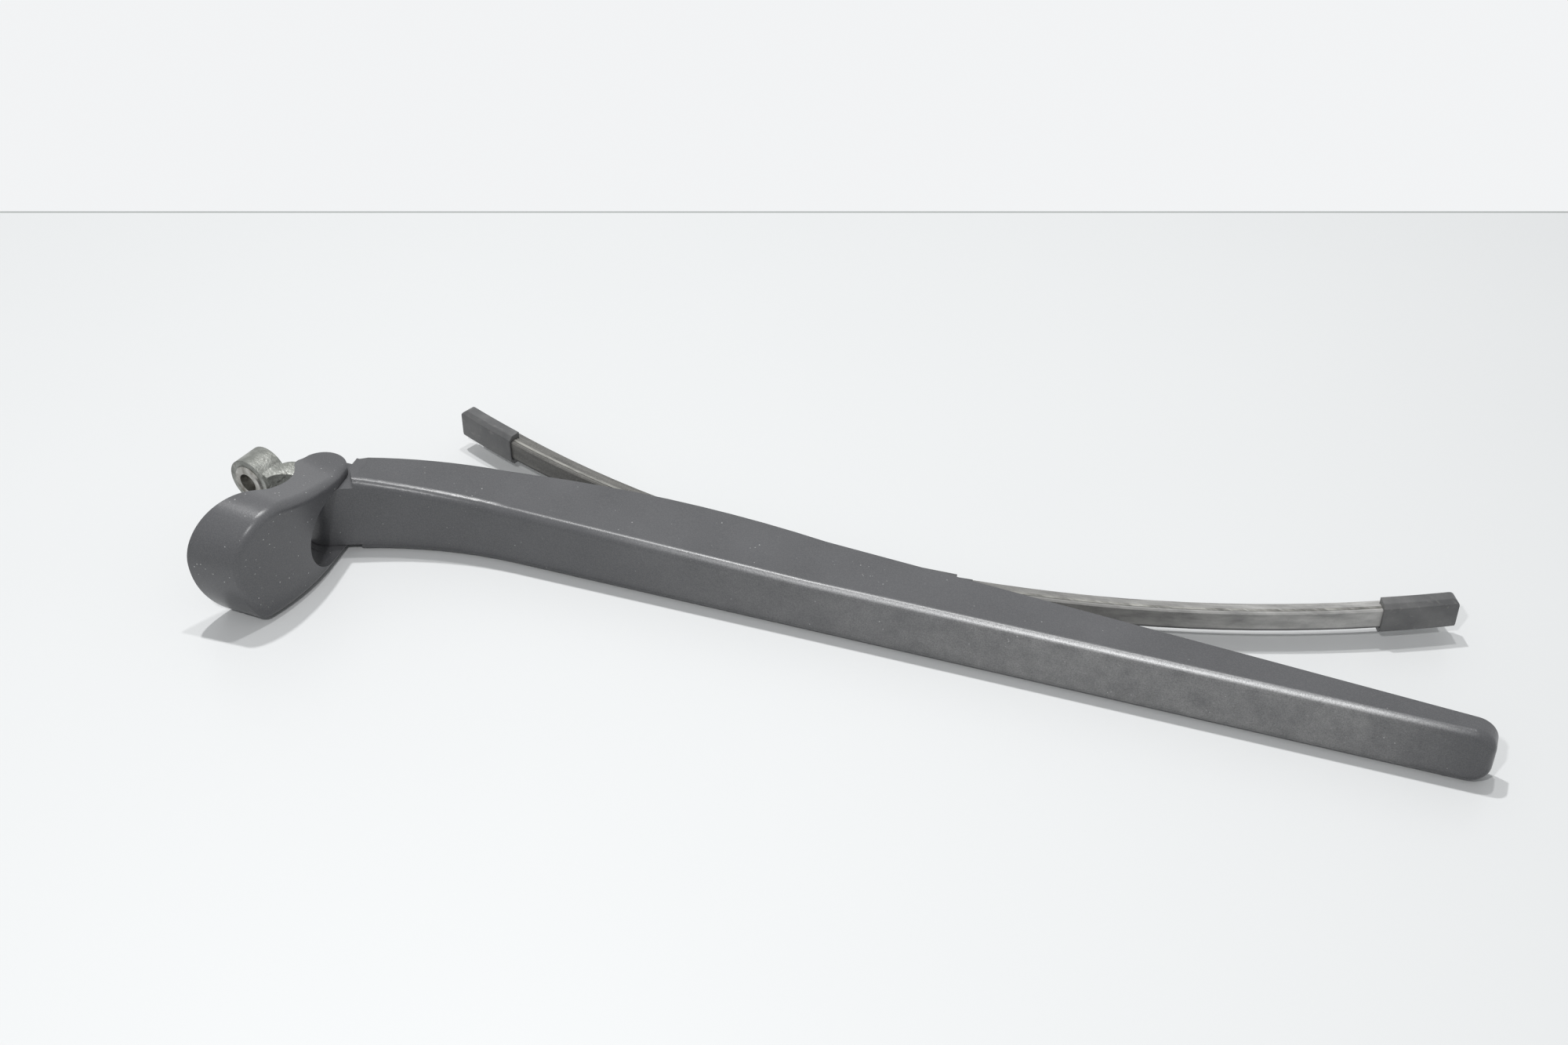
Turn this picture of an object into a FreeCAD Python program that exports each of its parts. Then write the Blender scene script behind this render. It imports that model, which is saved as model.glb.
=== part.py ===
import FreeCAD, Part
import math
import os

import Sketcher
from FreeCAD import Placement, Rotation, Vector

# Rear wiper: a die-cast head that clamps on the wiper spindle, a moulded channel arm hinged to
# it and pulled towards the glass by a tension spring, a flat blade that rocks under the middle
# of the arm, and a domed cover over the head, swung open about the hinge pin.
#
# Frame: origin at the centre of the head's bore, +Y along the bore into the glass, +X from the
# bore towards the hinge, +Z across the arm. The arm's lower side is flat and level with the
# lowest point of the cover. The arm's own frame has its origin on the hinge pin.

doc = FreeCAD.newDocument("rear_wiper")

# Driving dimensions, in millimetres and degrees.
DIMENSIONS = [
    ("pin_x", 24.5, "bore centre to hinge pin, along the head"),
    ("pin_y", 6.0, "hinge pin, towards the glass from the bore centre"),
    ("drop", 20.0, "flat lower side of arm and cover below the bore axis"),
    ("rest_angle", 15.0, "free angle of the arm to the head, off the glass"),
    ("cover_open", 88.0, "angle through which the cover stands open"),
    ("eye_radius", 8.4, "outside of the cast eye"),
    ("eye_length", 9.6, "cast eye along the bore"),
    ("bore_radius", 3.5, "bore that takes the spindle"),
    ("sleeve_radius", 6.2, "outside of the steel spline sleeve"),
    ("sleeve_proud", 0.7, "sleeve standing out of the eye's outer face"),
    ("hinge_height", 30.0, "arm and cover across the hinge"),
    ("ear_thick", 2.8, "cover ear on the pin"),
    ("ear_radius", 8.5, "round end of the cover ears"),
    ("ear_gap", 0.4, "gap between cover and arm round the ears"),
    ("ear_bend", 3.0, "bend between the cover's upper ear and its wall"),
    ("open_lift", 35.0, "how far the arm lifts while the cover stands open"),
    ("lug_thick", 3.6, "arm lug on the pin"),
    ("hinge_radius", 8.4, "round hinge end of the arm"),
    ("play", 0.2, "side clearance between hinge pieces"),
    ("flange_thick", 0.8, "flange of the hinge bushes"),
    ("flange_radius", 5.4, "flange of the hinge bushes"),
    ("washer_thick", 0.5, "thrust washers"),
    ("pin_radius", 2.5, "hinge pin"),
    ("running_gap", 0.05, "radial running clearance on pins"),
    ("bush_wall", 1.2, "wall of the hinge bushes"),
    ("knuckle_radius", 5.0, "head knuckle round the pin"),
    ("anchor_reach", 9.9, "hinge pin to spring anchor pin"),
    ("anchor_angle", 59.5, "direction of the anchor pin from the hinge pin"),
    ("anchor_radius", 1.6, "spring anchor pin"),
    ("anchor_lug_radius", 3.4, "lug round the anchor pin"),
    ("anchor_slot", 3.4, "slot for the spring hook in the lug"),
    ("arm_reach", 384.0, "hinge pin to arm tip"),
    ("arm_height", 20.5, "arm across its long straight part"),
    ("arm_wall", 2.2, "wall of the channel arm"),
    ("face_offset", 6.2, "outer face of the arm from the hinge pin"),
    ("face_start", 65.0, "where the outer face of the arm turns straight"),
    ("face_bend", 141.5, "radius of the outer face between hinge and straight"),
    ("face_root", -63.0, "where the outer face leaves the hinge round"),
    ("waist_height", 23.4, "arm height where the outer face turns straight"),
    ("waist_end", 168.0, "where the arm reaches its even height"),
    ("mouth_swell_x", 28.0, "glass-side edge, swell beyond the hinge"),
    ("mouth_swell_y", 18.0, "glass-side edge, swell beyond the hinge"),
    ("mouth_rise_x", 54.0, "glass-side edge, first point from the pin"),
    ("mouth_rise_y", 25.2, "glass-side edge, first point"),
    ("mouth_crest_x", 100.0, "glass-side edge, deepest point"),
    ("mouth_crest_y", 30.6, "glass-side edge, deepest point"),
    ("mouth_even_y", 28.8, "glass-side edge where the taper starts"),
    ("mouth_tip_y", 13.6, "glass-side edge at the tip"),
    ("ridge_radius", 3.0, "rounding of the arm's long edges"),
    ("tip_radius", 7.0, "corner rounding of the arm tip"),
    ("rib_thick", 1.4, "cross ribs inside the arm"),
    ("rib_pitch", 24.0, "spacing of the cross ribs"),
    ("rib_height", 3.2, "height of the cross ribs above the channel floor"),
    ("post_x", 81.0, "spring post along the arm"),
    ("post_y", 20.8, "spring post towards the glass"),
    ("post_radius", 2.0, "spring post"),
    ("coil_radius", 4.0, "spring, centre of the wire"),
    ("wire_radius", 1.0, "spring wire"),
    ("coil_start", 11.0, "first coil from the anchor pin"),
    ("nose_reach", 57.3, "hinge pin to the end of the cover's nose at its rim"),
    ("nose_height", 25.5, "furthest point of the nose above the flat foot"),
    ("nose_sweep", 38.6, "radius of the nose's lower stretch"),
    ("heel_radius", 4.0, "corner between the nose and the flat foot"),
    ("dome_radius", 18.0, "round upper end of the cover at its rim"),
    ("dome_x", 35.5, "hinge pin to the middle of the cover's rim"),
    ("crest_x", 34.0, "hinge pin to the crest of the cover's face"),
    ("dome_rise", 16.0, "face of the dome from the pin"),
    ("dome_skirt", 3.2, "rim of the dome behind the pin"),
    ("nose_lean", 19.0, "lean of the dome's end wall"),
    ("side_lean", 7.0, "lean of the dome's upper and lower walls"),
    ("cover_slope", 17.0, "slope of the cover from the hinge to the dome"),
    ("cover_wall", 2.2, "wall of the cover"),
    ("cover_round", 3.2, "rounding of the cover's face"),
    ("notch_shift", 9.8, "how far the half-round cut-out lies beyond the pin"),
    ("blade_x", 195.3, "blade pivot along the arm"),
    ("blade_y", 18.2, "blade pivot towards the glass"),
    ("blade_rise", 9.0, "blade pivot to the back of the blade"),
    ("blade_tilt", 1.7, "turn of the blade in the arm at rest"),
    ("blade_chord", 346.0, "blade from end to end"),
    ("blade_bow", 396.0, "radius of the free blade's back"),
    ("rubber_width", 7.6, "rubber back across the blade"),
    ("rubber_back", 3.4, "depth of the rubber back"),
    ("rail_thick", 1.0, "spring-steel rail"),
    ("rail_width", 2.6, "rail across the blade"),
    ("rail_edge", 3.9, "outer edge of the rail from the blade's middle"),
    ("rail_depth", 1.2, "rail below the blade's back"),
    ("rail_gap", 0.05, "clearance of the rail in its slot"),
    ("lip_depth", 8.7, "back of the blade to the wiping edge"),
    ("end_cap_length", 25.0, "end cap along the blade"),
    ("end_cap_side", 2.0, "side wall of the end caps"),
    ("end_cap_round", 2.4, "rounded corners at the blade's ends"),
    ("sheath_wall", 0.6, "wall of end caps and clamp round the rubber back"),
    ("sheath_gap", 0.05, "clearance of end caps and clamp on the blade"),
    ("sheath_throat", 1.4, "half the throat of end caps and clamp"),
    ("end_cap_stop", 3.0, "closed end of the end cap"),
    ("clamp_length", 44.0, "steel clamp along the blade"),
    ("clip_length", 34.0, "clip along the blade"),
    ("clip_play", 0.65, "side clearance of the clip in the arm"),
    ("clip_top", 5.4, "clip above the pivot"),
    ("pivot_radius", 2.5, "blade pivot pin"),
    ("pivot_bush_wall", 1.1, "liner round the pivot pin"),
    ("boss_length", 1.2, "how far pins reach into the arm's walls"),
]

COIL_COUNT = 14

sheet = doc.addObject("Spreadsheet::Sheet", "Sizes")
for row, (alias, value, note) in enumerate(DIMENSIONS, start=1):
    sheet.set(f"A{row}", str(value))
    sheet.setAlias(f"A{row}", alias)
    sheet.set(f"B{row}", note)
doc.recompute()


class Size:
    """A length or angle: its value now, and the expression that drives it."""

    def __init__(self, value, text):
        self.value = value
        self.text = text

    def __add__(self, other):
        other = as_size(other)
        return Size(self.value + other.value, f"({self.text} + {other.text})")

    def __sub__(self, other):
        other = as_size(other)
        return Size(self.value - other.value, f"({self.text} - {other.text})")

    def __mul__(self, other):
        other = as_size(other)
        return Size(self.value * other.value, f"({self.text} * {other.text})")

    def __truediv__(self, other):
        other = as_size(other)
        return Size(self.value / other.value, f"({self.text} / {other.text})")

    def __radd__(self, other):
        return as_size(other) + self

    def __rsub__(self, other):
        return as_size(other) - self

    def __rmul__(self, other):
        return as_size(other) * self

    def __rtruediv__(self, other):
        return as_size(other) / self

    def __neg__(self):
        return Size(-self.value, f"(-1 * {self.text})")


def as_size(number):
    """A plain number as a Size."""
    if isinstance(number, Size):
        return number
    return Size(float(number), f"({float(number)!r})")


def sine(angle):
    """Sine of an angle in degrees."""
    angle = as_size(angle)
    return Size(math.sin(math.radians(angle.value)), f"sin({angle.text} * 1 deg)")


def cosine(angle):
    """Cosine of an angle in degrees."""
    angle = as_size(angle)
    return Size(math.cos(math.radians(angle.value)), f"cos({angle.text} * 1 deg)")


def root(square):
    """Square root."""
    return Size(math.sqrt(square.value), f"sqrt({square.text})")


def arc_sine(ratio):
    """Angle in degrees whose sine is the ratio."""
    degrees = math.degrees(math.asin(ratio.value))
    return Size(degrees, f"(asin({ratio.text}) / 1 deg)")


class Sizes:
    """The driving dimensions by name."""


for alias, value, note in DIMENSIONS:
    setattr(Sizes, alias, Size(value, f"Sizes.{alias}"))
s = Sizes


def bind(thing, field, size):
    """Drive a field of an object by a Size."""
    thing.setExpression(field, as_size(size).text)


def polar(radius, angle):
    """Point at a radius and an angle from the origin."""
    return (radius * cosine(angle), radius * sine(angle))


def turned(angle, x, y):
    """Components of a vector (x, y) after a turn."""
    return (x * cosine(angle) - y * sine(angle), x * sine(angle) + y * cosine(angle))


PLANES = {
    "XY": Rotation(),
    "XZ": Rotation(Vector(1, 0, 0), 90),
    "YZ": Rotation(Vector(1, 1, 1), 120),
}


def plain(point):
    """Where a point of sizes lies now."""
    return Vector(as_size(point[0]).value, as_size(point[1]).value, 0)


def locate(sketch, geometry, end, point):
    """Fix a point of a sketch by its two distances from the origin."""
    for kind, part in (("DistanceX", point[0]), ("DistanceY", point[1])):
        size = as_size(part)
        number = sketch.addConstraint(Sketcher.Constraint(kind, -1, 1, geometry, end, size.value))
        sketch.setExpression(f"Constraints[{number}]", size.text)


def draw(sketch, path):
    """Closed outline in a sketch. The path lists its corners in order. Where a corner is followed
    by a word and a point, the next stretch is an arc that passes through that point."""
    corners = []
    middles = []
    for step in path:
        if step[0] == "by":
            middles[-1] = step[1]
        else:
            corners.append(step)
            middles.append(None)
    ends = []
    for number, corner in enumerate(corners):
        start = plain(corner)
        stop = plain(corners[(number + 1) % len(corners)])
        if middles[number] is None:
            piece = sketch.addGeometry(Part.LineSegment(start, stop), False)
            ends.append((piece, 1, 2))
            continue
        through = plain(middles[number])
        turn = (through - start).cross(stop - through).z
        if turn > 0:
            piece = sketch.addGeometry(Part.Arc(start, through, stop), False)
            ends.append((piece, 1, 2))
        else:
            piece = sketch.addGeometry(Part.Arc(stop, through, start), False)
            ends.append((piece, 2, 1))
        guide = sketch.addGeometry(Part.Point(through), True)
        locate(sketch, guide, 1, middles[number])
        sketch.addConstraint(Sketcher.Constraint("PointOnObject", guide, 1, piece))
    for number, corner in enumerate(corners):
        piece, first, last = ends[number]
        before, unused, joined = ends[number - 1]
        sketch.addConstraint(Sketcher.Constraint("Coincident", before, joined, piece, first))
        locate(sketch, piece, first, corner)


def circle(sketch, centre, radius):
    """Circle in a sketch, placed and sized by sizes."""
    shape = Part.Circle(plain(centre), Vector(0, 0, 1), as_size(radius).value)
    number = sketch.addGeometry(shape, False)
    locate(sketch, number, 3, centre)
    rule = sketch.addConstraint(Sketcher.Constraint("Radius", number, as_size(radius).value))
    bind(sketch, f"Constraints[{rule}]", radius)


def free_sketch(name, plane, path):
    """Sketch on a plane through the origin, with one closed outline."""
    sketch = doc.addObject("Sketcher::SketchObject", name)
    sketch.Placement = Placement(Vector(), PLANES[plane])
    draw(sketch, path)
    return sketch


def extrude(name, sketch, way, low, high):
    """Solid between two levels along a direction."""
    solid = doc.addObject("Part::Extrusion", name)
    solid.Base = sketch
    solid.DirMode = "Custom"
    solid.Dir = way
    solid.Solid = True
    bind(solid, "LengthFwd", high)
    bind(solid, "LengthRev", -as_size(low))
    return solid


def slab(name, path, low, high):
    """Outline in X and Y, solid between two heights."""
    return extrude(name, free_sketch(name + "_outline", "XY", path), Vector(0, 0, 1), low, high)


def wall(name, path, low, high):
    """Outline in X and Z, solid between two depths."""
    return extrude(name, free_sketch(name + "_outline", "XZ", path), Vector(0, 1, 0), low, high)


def upright(name, centre, radius, low, high):
    """Cylinder along Z between two heights."""
    post = doc.addObject("Part::Cylinder", name)
    bind(post, "Radius", radius)
    bind(post, "Height", as_size(high) - low)
    bind(post, "Placement.Base.x", centre[0])
    bind(post, "Placement.Base.y", centre[1])
    bind(post, "Placement.Base.z", low)
    return post


def along_bore(name, radius, low, high):
    """Cylinder on the bore axis between two depths."""
    post = doc.addObject("Part::Cylinder", name)
    post.Placement = Placement(Vector(), Rotation(Vector(1, 0, 0), -90))
    bind(post, "Radius", radius)
    bind(post, "Height", as_size(high) - low)
    bind(post, "Placement.Base.y", low)
    return post


def fuse(name, pieces):
    """Union."""
    solid = doc.addObject("Part::MultiFuse", name)
    solid.Shapes = pieces
    solid.Refine = True
    return solid


def common(name, pieces):
    """Intersection."""
    solid = doc.addObject("Part::MultiCommon", name)
    solid.Shapes = pieces
    return solid


def cut(name, base, tool):
    """Difference."""
    solid = doc.addObject("Part::Cut", name)
    solid.Base = base
    solid.Tool = tool
    return solid


def fillet(name, base, radius, chosen):
    """Rounding of the edges that a test chooses."""
    doc.recompute()
    solid = doc.addObject("Part::Fillet", name)
    solid.Base = base
    amount = as_size(radius).value
    numbers = [n for n, edge in enumerate(base.Shape.Edges, start=1) if chosen(edge)]
    solid.Edges = [(n, amount, amount) for n in numbers]
    return solid


def middle(edge):
    """Point half way along an edge."""
    return edge.valueAt((edge.FirstParameter + edge.LastParameter) / 2)


def plane_of(body, role):
    """Origin plane of a body by its role."""
    return [f for f in body.Origin.OriginFeatures if f.Role == role][0]


def body_sketch(body, role, name):
    """Sketch on one of a body's origin planes."""
    sketch = body.newObject("Sketcher::SketchObject", name)
    sketch.AttachmentSupport = (plane_of(body, role), [""])
    sketch.MapMode = "FlatFace"
    return sketch


def turned_body(name, path):
    """Body of revolution about its own Z axis from an outline in X and Z."""
    body = doc.addObject("PartDesign::Body", name)
    sketch = body_sketch(body, "XZ_Plane", name + "_profile")
    draw(sketch, path)
    spin = body.newObject("PartDesign::Revolution", name + "_turn")
    spin.Profile = sketch
    spin.ReferenceAxis = (sketch, ["V_Axis"])
    spin.Angle = 360.0
    body.Tip = spin
    return body


def tube_path(inner, outer, low, high, bevel):
    """Half section of a plain tube with bevelled ends outside."""
    return [
        (inner, low),
        (outer - bevel, low),
        (outer, low + bevel),
        (outer, high - bevel),
        (outer - bevel, high),
        (inner, high),
    ]


def pin_path(radius, low, high, bevel):
    """Half section of a plain pin with bevelled ends."""
    return [
        (0.0, low),
        (radius - bevel, low),
        (radius, low + bevel),
        (radius, high - bevel),
        (radius - bevel, high),
        (0.0, high),
    ]


def place(piece, x, y, angle):
    """Carry a piece from its own frame to its place: a turn about Z, then a move."""
    piece.Placement = Placement(Vector(), Rotation(Vector(0, 0, 1), as_size(angle).value))
    bind(piece, "Placement.Rotation.Angle", as_size(angle) * Size(1.0, "1 deg"))
    bind(piece, "Placement.Base.x", x)
    bind(piece, "Placement.Base.y", y)


nodes = {}


def keep(label, piece):
    """Make an object one of the wiper's pieces."""
    piece.Label = label
    nodes[label] = piece
    return piece


# Heights of the hinge stack, from the flat lower side up.
floor = -s.drop
hinge_top = floor + s.hinge_height
hinge_mid = floor + s.hinge_height / 2
lug_low = floor + s.ear_thick + s.play
lug_high = hinge_top - s.ear_thick - s.play
lug_low_in = lug_low + s.lug_thick
lug_high_in = lug_high - s.lug_thick
washer_low = lug_low_in + s.flange_thick
washer_high = lug_high_in - s.flange_thick
knuckle_low = washer_low + s.washer_thick + s.play / 4
knuckle_high = washer_high - s.washer_thick - s.play / 4
head_pin = (s.pin_x, s.pin_y)
origin = (as_size(0), as_size(0))


# Hub casting: zinc die casting. A round eye on the spindle, a cranked neck, a knuckle on the
# hinge pin, and a slotted lug that holds the spring's anchor pin.
half_eye = s.eye_length / 2
anchor = polar(s.anchor_reach, s.anchor_angle)
anchor_x = s.pin_x + anchor[0]
anchor_y = s.pin_y + anchor[1]
neck_thick = s.knuckle_radius - 0.4
eye = along_bore("eye", s.eye_radius, -half_eye, half_eye)
neck_plan = wall(
    "neck_plan",
    [
        (0.0, 0.86 * s.eye_radius),
        (0.36 * s.eye_radius, 0.84 * s.eye_radius),
        ("by", (0.4 * s.pin_x, 0.52 * s.eye_radius)),
        (0.72 * s.pin_x, knuckle_high),
        (s.pin_x + s.knuckle_radius, knuckle_high),
        (s.pin_x + s.knuckle_radius, knuckle_low),
        (0.72 * s.pin_x, knuckle_low),
        ("by", (0.42 * s.pin_x, 0.86 * knuckle_low)),
        (0.36 * s.eye_radius, -0.86 * s.eye_radius),
        (0.0, -0.86 * s.eye_radius),
    ],
    -s.eye_radius,
    s.eye_radius + s.pin_y,
)
neck_side = slab(
    "neck_side",
    [
        (0.0, 0.3 - half_eye),
        (0.34 * s.pin_x, 0.9 - half_eye),
        ("by", (0.52 * s.pin_x, s.pin_y - 0.58 * neck_thick)),
        (0.74 * s.pin_x, s.pin_y - 0.16 * neck_thick),
        (s.pin_x, s.pin_y - 0.16 * neck_thick),
        (s.pin_x, s.pin_y + neck_thick),
        (0.66 * s.pin_x, s.pin_y + neck_thick),
        ("by", (0.46 * s.pin_x, s.pin_y + 0.8 * neck_thick)),
        (0.3 * s.pin_x, half_eye - 0.3),
        (0.0, half_eye - 0.3),
    ],
    -s.eye_radius,
    s.eye_radius,
)
neck = common("neck", [neck_plan, neck_side])
knuckle = upright("knuckle", head_pin, s.knuckle_radius, knuckle_low, knuckle_high)
lug_half = s.anchor_slot / 2 + 1.9
across_x = s.anchor_lug_radius * cosine(s.anchor_angle + 90)
across_y = s.anchor_lug_radius * sine(s.anchor_angle + 90)
anchor_web = slab(
    "anchor_web",
    [
        (s.pin_x + across_x, s.pin_y + across_y),
        (anchor_x + across_x, anchor_y + across_y),
        (
            "by",
            (
                anchor_x + s.anchor_lug_radius * cosine(s.anchor_angle),
                anchor_y + s.anchor_lug_radius * sine(s.anchor_angle),
            ),
        ),
        (anchor_x - across_x, anchor_y - across_y),
        (s.pin_x - across_x, s.pin_y - across_y),
    ],
    hinge_mid - lug_half,
    hinge_mid + lug_half,
)
casting_blank = fuse("casting_blank", [eye, neck, knuckle, anchor_web])
hook_room = upright(
    "hook_room",
    (anchor_x, anchor_y),
    s.anchor_lug_radius + 1.2,
    hinge_mid - s.anchor_slot / 2,
    hinge_mid + s.anchor_slot / 2,
)
casting_holes = fuse(
    "casting_holes",
    [
        along_bore("sleeve_seat", s.sleeve_radius, -half_eye - 1, half_eye + 1),
        upright("pin_seat", head_pin, s.pin_radius, knuckle_low - 1, knuckle_high + 1),
        upright(
            "anchor_seat",
            (anchor_x, anchor_y),
            s.anchor_radius,
            hinge_mid - lug_half - 1,
            hinge_mid + lug_half + 1,
        ),
        hook_room,
    ],
)
keep("hub_casting", cut("casting", casting_blank, casting_holes))

# Spline sleeve: turned steel, pressed in the eye, with the bore that takes the spindle.
sleeve = turned_body(
    "sleeve",
    tube_path(s.bore_radius, s.sleeve_radius, -half_eye, half_eye + s.sleeve_proud, as_size(0.5)),
)
sleeve.Placement = Placement(Vector(), Rotation(Vector(1, 0, 0), 90))
keep("spline_sleeve", sleeve)

# Anchor pin and hinge pin: steel, pressed in the casting.
anchor_bar = turned_body(
    "anchor_bar",
    pin_path(s.anchor_radius, hinge_mid - lug_half, hinge_mid + lug_half, as_size(0.3)),
)
place(anchor_bar, anchor_x, anchor_y, 0)
keep("anchor_pin", anchor_bar)
pin_end = s.ear_thick - 1.1
hinge_bar = turned_body(
    "hinge_bar", pin_path(s.pin_radius, floor + 1.1, hinge_top - 1.1, as_size(0.4))
)
place(hinge_bar, s.pin_x, s.pin_y, 0)
keep("hinge_pin", hinge_bar)

# Hinge bushes and thrust washers: moulded flanged bushes in the arm's lugs, steel washers.
bush_in = s.pin_radius + s.running_gap
bush_out = bush_in + s.bush_wall
for label, lug_out, lug_in, flange_end in (
    ("bush_lower", lug_low, lug_low_in, washer_low),
    ("bush_upper", lug_high, lug_high_in, washer_high),
):
    bush = turned_body(
        label + "_body",
        [
            (bush_in, lug_out),
            (bush_out, lug_out),
            (bush_out, lug_in),
            (s.flange_radius, lug_in),
            (s.flange_radius, flange_end),
            (bush_in, flange_end),
        ],
    )
    place(bush, s.pin_x, s.pin_y, s.rest_angle)
    keep(label, bush)
for label, low, high in (
    ("washer_lower", washer_low + s.play / 8, washer_low + s.play / 8 + s.washer_thick),
    ("washer_upper", washer_high - s.play / 8 - s.washer_thick, washer_high - s.play / 8),
):
    washer = turned_body(
        label + "_body",
        tube_path(bush_in, s.flange_radius - 0.4, low, high, as_size(0.1)),
    )
    place(washer, s.pin_x, s.pin_y, 0)
    keep(label, washer)

# Arm shell: glass-filled moulding, a channel open to the glass. Its outer face swings down from
# the hinge and runs straight to a round-cornered tip; the glass-side edge bellies, then tapers.


def bend(x, inset):
    """Depth of the bent stretch of the outer face at a place along the arm."""
    radius = s.face_bend + inset
    return s.face_offset + inset - radius + root(radius * radius - (s.face_start - x) * (s.face_start - x))


def outer_face(inset, root_angle):
    """Outer face from the straight to the hinge round, moved inwards by an inset."""
    halfway = 0.5 * s.face_start
    return [
        (s.face_start, s.face_offset + inset),
        ("by", (halfway, bend(halfway, inset))),
        polar(s.hinge_radius - inset, root_angle),
    ]


arm_side = slab(
    "arm_side",
    [(s.arm_reach, s.face_offset)]
    + outer_face(as_size(0), s.face_root)
    + [
        ("by", (-s.hinge_radius, 0.0)),
        (0.0, s.hinge_radius),
        (s.hinge_radius + 1.5, s.hinge_radius),
        ("by", (s.mouth_swell_x, s.mouth_swell_y)),
        (s.mouth_rise_x, s.mouth_rise_y),
        ("by", (s.mouth_crest_x, s.mouth_crest_y)),
        (s.waist_end, s.mouth_even_y),
        (s.arm_reach, s.mouth_tip_y),
    ],
    floor - 2,
    hinge_top + 2,
)
even_top = floor + s.arm_height
waist_top = floor + s.waist_height
corner = s.tip_radius * (1 - cosine(45))


waist_mid = floor + 0.5 * s.hinge_height + 0.5 * s.waist_height - 0.8


arm_plan = wall(
    "arm_plan",
    [(-s.hinge_radius - 2, floor), (s.arm_reach - s.tip_radius, floor)]
    + [
        ("by", (s.arm_reach - corner, floor + corner)),
        (s.arm_reach, floor + s.tip_radius),
        (s.arm_reach, even_top - s.tip_radius),
        ("by", (s.arm_reach - corner, even_top - corner)),
        (s.arm_reach - s.tip_radius, even_top),
    ]
    + [
        (s.waist_end, even_top),
        (s.face_start, waist_top),
        ("by", (0.55 * s.face_start, waist_mid)),
        (s.hinge_radius + 4, hinge_top),
        (-s.hinge_radius - 2, hinge_top),
    ],
    -s.hinge_radius - 2,
    s.mouth_crest_y + 2,
)
arm_blank = common("arm_blank", [arm_side, arm_plan])


def face_level(x):
    """Depth of the outer face at a place along the arm, as it is now."""
    return bend(as_size(x), as_size(0)).value if x < s.face_start.value else s.face_offset.value


def on_ridge(edge):
    """The long edges of the outer face and those of the tip, without seams across the face."""
    point = middle(edge)
    first = edge.Vertexes[0].Point
    last = edge.Vertexes[-1].Point
    across = abs(first.x - last.x) < 0.01 and point.x < s.arm_reach.value - 1
    off = abs(point.y - face_level(point.x)) > 0.05
    return not off and not across and point.x > s.hinge_radius.value + 1


arm_round = fillet("arm_round", arm_blank, s.ridge_radius, on_ridge)

window = as_size(240)
cavity_side = slab(
    "cavity_side",
    [(s.arm_reach - s.arm_wall, s.face_offset + s.arm_wall)]
    + outer_face(s.arm_wall, s.face_root)
    + [
        ("by", polar(s.hinge_radius - s.arm_wall, as_size(-90))),
        polar(s.hinge_radius - s.arm_wall, window),
        polar(s.hinge_radius + 6, window),
        (-s.hinge_radius - 12, 0.0),
        (-s.hinge_radius - 12, s.mouth_crest_y + 6),
        (s.arm_reach - s.arm_wall, s.mouth_crest_y + 6),
    ],
    floor,
    hinge_top,
)
lug_end = s.hinge_radius + 7
step_end = lug_end + 6
cavity_plan = wall(
    "cavity_plan",
    [
        (-s.hinge_radius - 14, lug_low_in),
        (lug_end, lug_low_in),
        (step_end, floor + s.arm_wall),
        (s.arm_reach - s.arm_wall, floor + s.arm_wall),
        (s.arm_reach - s.arm_wall, even_top - s.arm_wall),
        (s.waist_end, even_top - s.arm_wall),
        (s.face_start, waist_top - s.arm_wall),
        ("by", (0.6 * s.face_start, waist_mid - s.arm_wall - 0.4)),
        (step_end, lug_high_in + 1.2),
        (lug_end, lug_high_in),
        (-s.hinge_radius - 14, lug_high_in),
    ],
    -s.hinge_radius - 8,
    s.mouth_crest_y + 8,
)
cavity = common("cavity", [cavity_side, cavity_plan])
ear_room = s.ear_radius + s.ear_gap
shoulder_turn = sine(s.open_lift / 2) / cosine(s.open_lift / 2)
shoulder_y = ear_room * shoulder_turn
shoulder_foot = 2.4 * s.hinge_radius
shoulder = [
    (-s.hinge_radius - 6, s.mouth_rise_y),
    (ear_room, s.mouth_rise_y),
    (ear_room, shoulder_y),
    (ear_room + (shoulder_y + shoulder_foot) * sine(s.open_lift) / cosine(s.open_lift), -shoulder_foot),
    (-s.hinge_radius - 6, -shoulder_foot),
]
arm_cuts = fuse(
    "arm_cuts",
    [
        cavity,
        slab("ear_room_low", shoulder, floor - 1, lug_low),
        slab("ear_room_high", shoulder, lug_high, hinge_top + 1),
        upright("bush_seats", origin, bush_out, lug_low - 1, lug_high + 1),
    ],
)
arm_hollow = cut("arm_hollow", arm_round, arm_cuts)

# Cross ribs on the channel floor beyond the spring and the blade pivot, and bosses for pins.
ribs = []
for number in range(5):
    rib_x = s.blade_x + s.clip_length + number * s.rib_pitch
    ribs.append(
        wall(
            f"rib_{number}",
            [
                (rib_x, floor + s.arm_wall / 2),
                (rib_x + s.rib_thick, floor + s.arm_wall / 2),
                (rib_x + s.rib_thick, even_top - s.arm_wall / 2),
                (rib_x, even_top - s.arm_wall / 2),
            ],
            s.face_offset + s.arm_wall / 2,
            s.face_offset + s.arm_wall + s.rib_height,
        )
    )
arm_inner_high = even_top - s.arm_wall
arm_inner_low = floor + s.arm_wall
arm_solid = fuse("arm_solid", [arm_hollow] + ribs)
pin_seats = fuse(
    "pin_seats",
    [
        upright(
            "post_seat",
            (s.post_x, s.post_y),
            s.post_radius,
            arm_inner_low - s.boss_length,
            waist_top - s.arm_wall + s.boss_length - 0.2,
        ),
        upright(
            "pivot_seat",
            (s.blade_x, s.blade_y),
            s.pivot_radius,
            arm_inner_low - s.boss_length,
            arm_inner_high + s.boss_length,
        ),
    ],
)
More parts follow.
